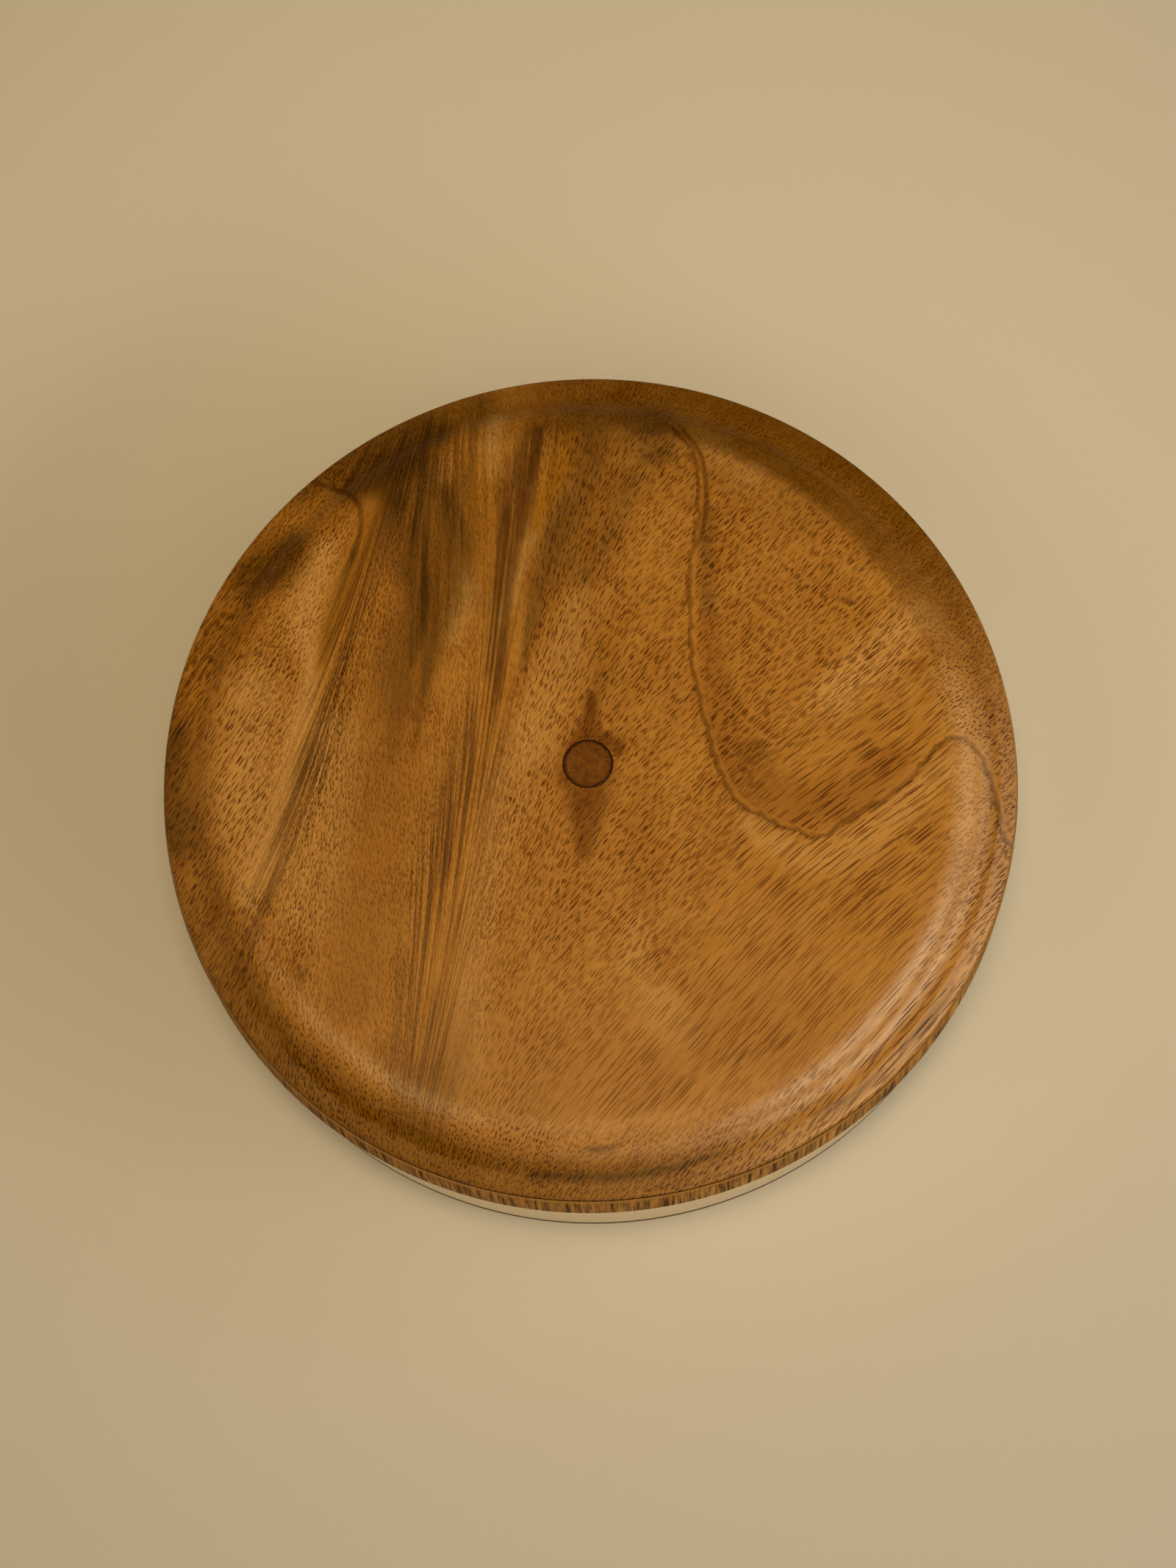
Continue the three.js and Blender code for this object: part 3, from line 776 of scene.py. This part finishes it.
# Pores: each cell of a scatter drawn out along the grain holds one dash, turned to the fibres there.
# Short, middling and long ones take over from each other as the cut gets flatter. Each row gives the
# lean of its cells in degrees, their width and length, and the share that it shows.
short_ones = add(tree, "MapRange", {0: noted["pore_length"], 1: 2.6, 2: 1.7})[0]
long_ones = add(tree, "MapRange", {0: noted["pore_length"], 1: 3.0, 2: 4.5})[0]
rise = add(tree, "MapRange", {0: noted["pore_length"], 1: 1.4, 2: 2.0})[0]
fall = add(tree, "MapRange", {0: noted["pore_length"], 1: 6.0, 2: 3.8})[0]
middling = add(tree, "Math", {0: rise, 1: fall}, operation="MULTIPLY")[0]
pore = None
for number, (cell_lean, across_cell, along_cell, share) in enumerate([
    (20, 1.0, 1.5, short_ones),
    (35, 1.2, 1.8, short_ones),
    (44, 1.0, 3.0, middling),
    (46, 1.2, 4.2, middling),
    (48, 1.1, 9.0, long_ones),
    (50, 1.4, 14.0, long_ones),
]):
    cell_lean = math.radians(cell_lean)
    seed = (number * 7.31, number * 3.17, 0)
    scale = (1 / across_cell, 1 / along_cell, 0)
    size = (across_cell, along_cell, 0)
    lay = {"Vector": flat, "Angle": cell_lean}
    laid = add(tree, "VectorRotate", lay, rotation_type="Z_AXIS")[0]
    spread = add(tree, "VectorMath", {0: laid, 1: scale, 2: seed}, operation="MULTIPLY_ADD")[0]
    scatter = {"Vector": spread, "Randomness": 0.85, "Scale": 1.0}
    cells = add(tree, "TexVoronoi", scatter, voronoi_dimensions="2D")
    apart = add(tree, "VectorMath", {0: spread, 1: cells["Position"]}, operation="SUBTRACT")[0]
    offset = add(tree, "VectorMath", {0: apart, 1: size}, operation="MULTIPLY")[0]
    turn = add(tree, "Math", {0: noted["grain_lean"], 1: cell_lean}, operation="SUBTRACT")[0]
    aim = {"Vector": offset, "Angle": turn}
    aimed = add(tree, "VectorRotate", aim, rotation_type="Z_AXIS")[0]
    sides = add(tree, "SeparateXYZ", {0: aimed})
    chance = add(tree, "SeparateColor", {0: cells["Color"]})
    lengths = {0: noted["pore_length"], 1: along_cell}
    capped = add(tree, "Math", lengths, operation="MINIMUM")[0]
    reach = add(tree, "MapRange", {0: chance["Red"], 3: 0.3, 4: 0.7})[0]
    half_length = add(tree, "Math", {0: capped, 1: reach}, operation="MULTIPLY")[0]
    along = add(tree, "Math", {0: sides["Y"], 1: half_length}, operation="DIVIDE")[0]
    across = add(tree, "Math", {0: sides["X"], 1: 2 / PORE_WIDTH}, operation="MULTIPLY")[0]
    oval = add(tree, "CombineXYZ", {0: across, 1: along})[0]
    edge = add(tree, "VectorMath", {0: oval}, operation="LENGTH")["Value"]
    fade = {0: edge, 1: 1.15, 2: 0.7}
    dash = add(tree, "MapRange", fade, interpolation_type="SMOOTHSTEP")[0]
    depth = add(tree, "MapRange", {0: chance["Green"], 1: 0.1, 2: 0.7, 3: 0.4, 4: 1.0})[0]
    mark = add(tree, "Math", {0: dash, 1: depth}, operation="MULTIPLY")[0]
    shared = add(tree, "Math", {0: mark, 1: share}, operation="MULTIPLY")[0]
    pore = add(tree, "Math", {0: pore, 1: shared}, operation="MAXIMUM")[0] if pore else shared
clouds = {"Vector": flat, "Scale": 1 / CLOUD_WIDTH, "Detail": 3.0, "Roughness": 0.6}
cloud = add(tree, "TexNoise", clouds)[0]
crowd = add(tree, "MapRange", {0: cloud, 1: 0.3, 2: 0.7, 3: 1.15, 4: 0.65})[0]
clear_strip = add(tree, "MapRange", {0: noted["growth_side"], 1: 2.0, 2: 1.2})[0]
beside = add(tree, "Math", {0: noted["growth_side"], 1: 0.0}, operation="GREATER_THAN")[0]
strip = add(tree, "Math", {0: clear_strip, 1: beside}, operation="MULTIPLY")[0]
kept = add(tree, "Math", {0: 1.0, 1: strip}, operation="SUBTRACT")[0]
thinned = add(tree, "Math", {0: kept, 1: noted["pore_show"]}, operation="MULTIPLY")[0]
shown = add(tree, "Math", {0: crowd, 1: thinned}, operation="MULTIPLY")[0]
pore = add(tree, "Math", {0: pore, 1: shown}, operation="MULTIPLY", use_clamp=True)[0]

# Streaks and threads: broad and fine changes of tone that follow the fibres.
fibres = add(tree, "CombineXYZ", {0: noted["fibre_across"], 1: noted["fibre_along"]})[0]
stretch = (1 / STREAK_WIDTH, 1 / STREAK_LENGTH, 0)
drawn = add(tree, "VectorMath", {0: fibres, 1: stretch}, operation="MULTIPLY")[0]
streaks = {"Vector": drawn, "Scale": 1.0, "Detail": 4.0, "Roughness": 0.62}
streak = add(tree, "TexNoise", streaks)[0]
stretch = (1 / THREAD_WIDTH, 1 / THREAD_LENGTH, 0)
drawn_fine = add(tree, "VectorMath", {0: fibres, 1: stretch}, operation="MULTIPLY")[0]
thread = add(tree, "TexNoise", {"Vector": drawn_fine, "Scale": 1.0, "Detail": 1.0})[0]
contour = add(tree, "Math", {0: thread, 1: 0.5}, operation="SUBTRACT")[0]
away = add(tree, "Math", {0: contour}, operation="ABSOLUTE")[0]
thin = add(tree, "MapRange", {0: away, 1: 0.1, 2: 0.02})[0]
stretch = (1 / FLECK_WIDTH, 1 / FLECK_LENGTH, 0)
drawn_short = add(tree, "VectorMath", {0: fibres, 1: stretch}, operation="MULTIPLY")[0]
fine = add(tree, "TexNoise", {"Vector": drawn_short, "Scale": 1.0, "Detail": 1.0})[0]
broad = add(tree, "Mix", {0: 0.4, 2: streak, 3: cloud})[0]
tone = add(tree, "Mix", {0: 0.3, 2: broad, 3: fine})[0]
warmth = add(tree, "MapRange", {0: tone, 1: 0.34, 2: 0.66})[0]
colours = {0: warmth, 6: linear(WOOD_MID), 7: linear(WOOD_LIGHT)}
colour = add(tree, "Mix", colours, data_type="RGBA")[2]
patchy = add(tree, "MapRange", {0: streak, 1: 0.3, 2: 0.7, 3: 0.5, 4: 1.3})[0]
for name, code in (("pale", WOOD_PALE), ("russet", WOOD_RUSSET), ("amber", WOOD_AMBER)):
    parts = {0: noted[name], 1: patchy}
    cover = add(tree, "Math", parts, operation="MULTIPLY", use_clamp=True)[0]
    colour = add(tree, "Mix", {0: cover, 6: colour, 7: linear(code)}, data_type="RGBA")[2]

# Dark marks multiply the colour under them: smoke with some painted shade at the rim, the vein, lines,
# the growth line, the stain, dirt with painted shade, and pores. The vein has a sharp edge on its left
# and fades out on its right. The growth line wavers.
vein_edge = add(tree, "MapRange", {0: noted["vein_side"], 1: -0.5, 2: 0.6})[0]
vein_fade = add(tree, "MapRange", {0: noted["vein_side"], 1: 5.0, 2: 0.6, 3: 0.0, 4: 0.6})[0]
vein = add(tree, "Math", {0: vein_edge, 1: vein_fade}, operation="MULTIPLY")[0]
waver = add(tree, "TexNoise", {"Vector": flat, "Scale": 1 / WAVER_LENGTH, "Detail": 2.0})[0]
wander = add(tree, "MapRange", {0: waver, 3: -1.8, 4: 1.8})[0]
growth_at = add(tree, "Math", {0: noted["growth_side"], 1: wander}, operation="ADD")[0]
growth_off = add(tree, "Math", {0: growth_at}, operation="ABSOLUTE")[0]
twin_off = add(tree, "Math", {0: noted["growth_twin"]}, operation="ABSOLUTE")[0]
edge_off = add(tree, "Math", {0: noted["edge_line"]}, operation="ABSOLUTE")[0]
either = add(tree, "Math", {0: growth_off, 1: twin_off}, operation="MINIMUM")[0]
growth_near = add(tree, "Math", {0: either, 1: edge_off}, operation="MINIMUM")[0]
fade = {0: growth_near, 1: 1.25, 2: 0.2}
growth = add(tree, "MapRange", fade, interpolation_type="SMOOTHSTEP")[0]
faded = add(tree, "MapRange", {0: cloud, 1: 0.3, 2: 0.7, 3: 0.7, 4: 1.0})[0]
for cover, strength, code in (
    (noted["smoke_and_rim_shade"], patchy, SMOKE_AND_SHADE_TONE),
    (vein, patchy, VEIN_SHADE),
    (noted["line_bundle"], thin, LINE_SHADE),
    (growth, faded, GROWTH_SHADE),
    (noted["plug_stain"], 1.0, STAIN_SHADE),
    (noted["rim_dirt_and_shade"], 1.0, DIRT_AND_SHADE_TONE),
    (pore, 1.0, PORE_SHADE),
):
    parts = {0: cover, 1: strength}
    shade = add(tree, "Math", parts, operation="MULTIPLY", use_clamp=True)[0]
    layers = {0: shade, 6: colour, 7: linear(code)}
    colour = add(tree, "Mix", layers, data_type="RGBA", blend_type="MULTIPLY")[2]
rough = add(tree, "MapRange", {0: pore, 3: 0.36, 4: 0.45})[0]
open_pore = add(tree, "Math", {0: pore, 1: 0.6}, operation="MULTIPLY")[0]
dull = add(tree, "Math", {0: open_pore, 1: noted["dulled"]}, operation="MAXIMUM")[0]
sheen = add(tree, "MapRange", {0: dull, 2: 0.85, 3: 0.95, 4: 0.0})[0]
open_pores = {"Strength": 0.15, "Distance": PORE_DEPTH * MM, "Height": pore}
bump = add(tree, "Bump", open_pores, invert=True)[0]
shader = add(tree, "BsdfPrincipled", {
    "Base Color": colour,
    "Roughness": rough,
    "IOR": 1.5,
    "Specular IOR Level": sheen,
    "Specular Tint": linear(OIL_TINT),
    "Normal": bump,
})[0]
add(tree, "OutputMaterial", {"Surface": shader})
board.materials.append(acacia)
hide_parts("lid_crown")
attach(crown, "lid")

# Centre plug
# A dowel of darker wood, driven and glued into the hole that the board was turned on, then sanded
# flush with the face. A bead of glue stands in the joint round it and has taken up dark dust.
PLUG_CHAMFER = 0.4
PLUG_SIDES = 96
SPECK_WIDTH = 2.222
SPECK_DEPTH = 0.05
GRIT_WIDTH = 0.4545
RING_WIDTH = 0.9
RING_RAGGED = 1.6
GLUE_REACH = 0.28
GLUE_DROP = 0.1
GLUE_DEPTH = 1.5
PLUG_WOOD = "#74400a"
PLUG_WOOD_DARK = "#4a2604"
PLUG_RING = "#6e5a34"
PLUG_FLECK = "#a8763a"
plug_radius, plug_bottom, plug_top = extent("centre_plug")
plug = turned("dowel_plug", [
    (0, plug_bottom),
    (plug_radius - PLUG_CHAMFER, plug_bottom),
    (plug_radius, plug_bottom + PLUG_CHAMFER),
    (plug_radius, plug_top - GLUE_DEPTH),
    (plug_radius + GLUE_REACH, plug_top - GLUE_DEPTH),
    (plug_radius + GLUE_REACH, plug_top - GLUE_DROP),
    (plug_radius, plug_top - GLUE_DROP),
    *bend((plug_radius, plug_top - GLUE_DROP), GLUE_DROP, 90, 0, 4),
    *run((plug_radius - GLUE_DROP, plug_top), (0, plug_top), 6),
], PLUG_SIDES)

# A dowel sanded across its end grain: darker than the board, speckled, with a ragged dark ring of glue
# at its border, a few pale flecks of dust and hardly any shine.
dowel, tree = material("sanded_dowel_end")
place = add(tree, "TexCoord")["Object"]
flat = add(tree, "VectorMath", {0: place, 1: (1 / MM, 1 / MM, 0)}, operation="MULTIPLY")[0]
specks = {"Vector": flat, "Scale": 1 / SPECK_WIDTH, "Detail": 5.0, "Roughness": 0.7}
speck = add(tree, "TexNoise", specks)[0]
tone = add(tree, "MapRange", {0: speck, 1: 0.35, 2: 0.65})[0]
colours = {0: tone, 6: linear(PLUG_WOOD_DARK), 7: linear(PLUG_WOOD)}
colour = add(tree, "Mix", colours, data_type="RGBA")[2]
radius = add(tree, "VectorMath", {0: flat}, operation="LENGTH")["Value"]
ragged = add(tree, "MapRange", {0: speck, 3: -RING_RAGGED, 4: RING_RAGGED})[0]
near_edge = add(tree, "Math", {0: radius, 1: ragged}, operation="ADD")[0]
ring = add(tree, "MapRange", {0: near_edge, 1: plug_radius - RING_WIDTH, 2: plug_radius})[0]
layers = {0: ring, 6: colour, 7: linear(PLUG_RING)}
colour = add(tree, "Mix", layers, data_type="RGBA", blend_type="MULTIPLY")[2]
grit = add(tree, "TexNoise", {"Vector": flat, "Scale": 1 / GRIT_WIDTH, "Detail": 2.0})[0]
fleck = add(tree, "MapRange", {0: grit, 1: 0.64, 2: 0.72, 4: 0.7})[0]
colour = add(tree, "Mix", {0: fleck, 6: colour, 7: linear(PLUG_FLECK)}, data_type="RGBA")[2]
bump = add(tree, "Bump", {"Strength": 0.3, "Distance": SPECK_DEPTH * MM, "Height": speck})[0]
shader = add(tree, "BsdfPrincipled", {
    "Base Color": colour,
    "Roughness": 0.45,
    "IOR": 1.5,
    "Specular IOR Level": 0.25,
    "Specular Tint": linear(OIL_TINT),
    "Normal": bump,
})[0]
add(tree, "OutputMaterial", {"Surface": shader})
plug.data.materials.append(dowel)
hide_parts("centre_plug")
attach(plug, "lid")

# Lid collar
# The lower ring of the lid, turned from a quarter-sawn board so that its layers stand upright, and
# glued under the crown. Its spigot drops into the mouth of the bowl and is grooved for the seal.
COLLAR_HEIGHT = 15.0
COLLAR_ROUND = 0.5
SPIGOT_RADIUS = 98.8
SPIGOT_BORE = 86.0
SPIGOT_ROUND = 1.0
GROOVE_RADIUS = 96.6
GROOVE_DROP = 2.2
GROOVE_HEIGHT = 4.0
ARRIS = 0.25
LAYER = 0.9
LAYER_LENGTH = 50.0
LAYER_HEIGHT = 33.33
LAYER_DEPTH = 0.05
EDGE_HIGHLIGHT_TOP = 0.7
EDGE_HIGHLIGHT_BOTTOM = 1.3
COLLAR_LIGHT = "#be8238"
COLLAR_DARK = "#422406"
# Painted highlight: the lit upper edge of the collar, in one even, lighter tone.
COLLAR_EDGE_HIGHLIGHT = "#8c602c"
lid_radius, spigot_bottom, collar_top = extent("lid_collar")
collar_bottom = collar_top - COLLAR_HEIGHT
groove_top = collar_bottom - GROOVE_DROP
groove_bottom = groove_top - GROOVE_HEIGHT
collar = turned("turned_collar", [
    (SPIGOT_BORE + ARRIS, spigot_bottom),
    (SPIGOT_RADIUS - SPIGOT_ROUND, spigot_bottom),
    *bend((SPIGOT_RADIUS - SPIGOT_ROUND, spigot_bottom), SPIGOT_ROUND, 180, 90, 5),
    (SPIGOT_RADIUS, groove_bottom),
    (GROOVE_RADIUS, groove_bottom),
    (GROOVE_RADIUS, groove_top),
    (SPIGOT_RADIUS, groove_top),
    (SPIGOT_RADIUS, collar_bottom),
    (lid_radius - ARRIS, collar_bottom),
    *bend((lid_radius - ARRIS, collar_bottom), ARRIS, 180, 90, 3),
    (lid_radius, collar_top - COLLAR_ROUND),
    *bend((lid_radius, collar_top - COLLAR_ROUND), COLLAR_ROUND, 90, 0, 5),
    (SPIGOT_BORE, collar_top),
    (SPIGOT_BORE, spigot_bottom + ARRIS),
    *bend((SPIGOT_BORE, spigot_bottom + ARRIS), ARRIS, 270, 180, 3),
])

# Oiled acacia, cut across its layers: narrow upright stripes of dark and light wood, dull where they are
# handled, with a painted highlight of one lighter tone along the upper edge.
layered, tree = material("oiled_acacia_ring")
place = add(tree, "TexCoord")["Object"]
stretch = (1 / (LAYER * MM), 1 / (LAYER_LENGTH * MM), 1 / (LAYER_HEIGHT * MM))
layers_at = add(tree, "VectorMath", {0: place, 1: stretch}, operation="MULTIPLY")[0]
stripes = {"Vector": layers_at, "Scale": 1.0, "Detail": 4.0, "Roughness": 0.65}
layers = add(tree, "TexNoise", stripes)[0]
tone = add(tree, "MapRange", {0: layers, 1: 0.38, 2: 0.64})[0]
colours = {0: tone, 6: linear(COLLAR_DARK), 7: linear(COLLAR_LIGHT)}
striped = add(tree, "Mix", colours, data_type="RGBA")[2]
high = add(tree, "SeparateXYZ", {0: place})["Z"]
# A painted highlight along the upper edge, where the lamps catch the arris.
edge = {0: high, 1: (collar_top - EDGE_HIGHLIGHT_BOTTOM) * MM, 2: (collar_top - EDGE_HIGHLIGHT_TOP) * MM, 4: 0.8}
edge_highlight = add(tree, "MapRange", edge)[0]
colour = add(tree, "Mix", {0: edge_highlight, 6: striped, 7: linear(COLLAR_EDGE_HIGHLIGHT)}, data_type="RGBA")[2]
bump = add(tree, "Bump", {"Strength": 0.2, "Distance": LAYER_DEPTH * MM, "Height": layers})[0]
shader = add(tree, "BsdfPrincipled", {
    "Base Color": colour,
    "Roughness": 0.7,
    "IOR": 1.5,
    "Specular IOR Level": 0.05,
    "Specular Tint": linear(OIL_TINT),
    "Normal": bump,
})[0]
add(tree, "OutputMaterial", {"Surface": shader})
collar.data.materials.append(layered)
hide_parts("lid_collar")
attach(collar, "lid")

# Lid seal ring
# A pale silicone band moulded with two soft ribs and stretched into the groove of the spigot. The
# ribs press on the wall of the bowl and keep the steam in.
SEAL_WIDTH = 2.1
RIB_STAND = 0.7
RIB_HEIGHT = 1.3
SEAL_SILICONE = "#e4ddcb"
SEAL_SILICONE_DUSTY = "#d6ccb4"
rib_radius, seal_bottom, seal_top = extent("lid_seal_ring")
seal_radius = rib_radius - RIB_STAND


def rib(bottom):
    """A half-round rib on the face of the seal."""
    half = RIB_HEIGHT / 2
    turns = np.radians(np.linspace(-90, 90, 9))
    return [(seal_radius + RIB_STAND * math.cos(a), bottom + half + half * math.sin(a)) for a in turns]


seal = turned("moulded_seal_ring", [
    (seal_radius - SEAL_WIDTH, seal_bottom),
    *rib(seal_bottom),
    *rib(seal_top - RIB_HEIGHT),
    (seal_radius - SEAL_WIDTH, seal_top),
])
seal_rubber = moulded_silicone("seal_silicone_rubber", SEAL_SILICONE, SEAL_SILICONE_DUSTY)
seal.data.materials.append(seal_rubber)
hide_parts("lid_seal_ring")
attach(seal, "lid_seal")

# Table
# A plain table top of beige laminate in a soft studio light. A large cool soft box and a strip stand at
# the right, dimmer ones at the left, at the front and low at the front, and a small one hangs overhead.
TABLE_SIZE = 8.0
TABLE = "#c8b592"
WORLD_STRENGTH = 0.18
WORLD_MIRRORED = 0.01
COOL = "#eaf0ff"
WARM = "#fff4dc"
table_mesh = bpy.data.meshes.new("table_top")
half = TABLE_SIZE / 2
corners = [(-half, -half, 0), (half, -half, 0), (half, half, 0), (-half, half, 0)]
table_mesh.from_pydata(corners, [], [(0, 1, 2, 3)])
table = bpy.data.objects.new("table_top", table_mesh)
bpy.context.scene.collection.objects.link(table)

# Matt laminate: one even, dull beige that shows soft shadows and no reflections.
laminate, tree = material("matt_beige_laminate")
shader = add(tree, "BsdfPrincipled", {"Base Color": linear(TABLE), "Roughness": 0.85})[0]
add(tree, "OutputMaterial", {"Surface": shader})
table_mesh.materials.append(laminate)

# The room gives a little light from all round, and is dimmer where it is mirrored.
world = bpy.data.worlds.new("studio")
world.use_nodes = True
tree = world.node_tree
tree.nodes.clear()
rays = add(tree, "LightPath")
levels = {0: rays["Is Glossy Ray"], 3: WORLD_STRENGTH, 4: WORLD_MIRRORED}
strength = add(tree, "MapRange", levels)[0]
room = add(tree, "Background", {"Color": linear(WARM), "Strength": strength})[0]
add(tree, "OutputWorld", {"Surface": room})
bpy.context.scene.world = world
bpy.context.scene.view_settings.view_transform = "Standard"


def soft_box(name, azimuth, elevation, distance, width, height, power, colour, spread=180, beyond=0.0):
    """A soft box in metres and watts, placed by its direction from the lid, which it faces, or from a
    spot beyond the lid. A grid on its front narrows its spread."""
    lamp = bpy.data.lights.new(name, "AREA")
    lamp.shape = "RECTANGLE"
    lamp.size = width
    lamp.size_y = height
    lamp.energy = power
    lamp.color = linear(colour)[:3]
    lamp.spread = math.radians(spread)
    box = bpy.data.objects.new(name, lamp)
    turn, rise = math.radians(azimuth), math.radians(elevation)
    toward = Vector((math.cos(turn) * math.cos(rise), math.sin(turn) * math.cos(rise), math.sin(rise)))
    box.location = toward * distance + Vector((0, beyond, 0))
    box.rotation_euler = toward.to_track_quat("Z", "Y").to_euler()
    bpy.context.scene.collection.objects.link(box)
    return box


soft_box("right_soft_box", -4, 30, distance=1.6, width=1.1, height=1.1, power=6.2, colour=COOL)
soft_box("strip_soft_box", -40, 34, distance=1.6, width=1.25, height=0.4, power=10.8, colour=COOL)
soft_box("front_soft_box", 274, 62, distance=1.8, width=0.6, height=0.8, power=1.9, colour=WARM)
soft_box("low_soft_box", 275, 24, distance=1.6, width=1.0, height=0.4, power=1.9, colour=COOL)
soft_box("left_soft_box", 215, 55, distance=1.8, width=0.8, height=0.8, power=4.5, colour=WARM)
overhead = soft_box(
    "overhead_soft_box", 270, 78, distance=1.5, width=0.3, height=0.3, power=0.46, colour=WARM,
    spread=36, beyond=0.13,
)

# The overhead one is kept out of the polish of the lid.
overhead.visible_glossy = False
overhead.visible_camera = False

# Camera
# An 85 mm lens on a 36 mm frame, about a metre off, tipped down at the lid from the front.
LENS = 85.0
FRAME = 36.0
CAMERA_DISTANCE = 990.0
CAMERA_ELEVATION = 74.06
CAMERA_ROLL = -5.53
CAMERA_TARGET = Vector((-0.52, -1.14, 60.5))
lens = bpy.data.cameras.new("studio_camera")
lens.lens = LENS
lens.sensor_width = FRAME
camera = bpy.data.objects.new("studio_camera", lens)
rise = math.radians(CAMERA_ELEVATION)
back = Vector((0, -math.cos(rise), math.sin(rise)))
upward = Vector((0, math.sin(rise), math.cos(rise)))
facing = Matrix((Vector((1, 0, 0)), upward, back)).transposed()
roll = Matrix.Rotation(math.radians(CAMERA_ROLL), 3, "Z")
camera.matrix_world = (facing @ roll).to_4x4()
camera.location = (CAMERA_TARGET + back * CAMERA_DISTANCE) * MM
bpy.context.scene.collection.objects.link(camera)
bpy.context.scene.camera = camera
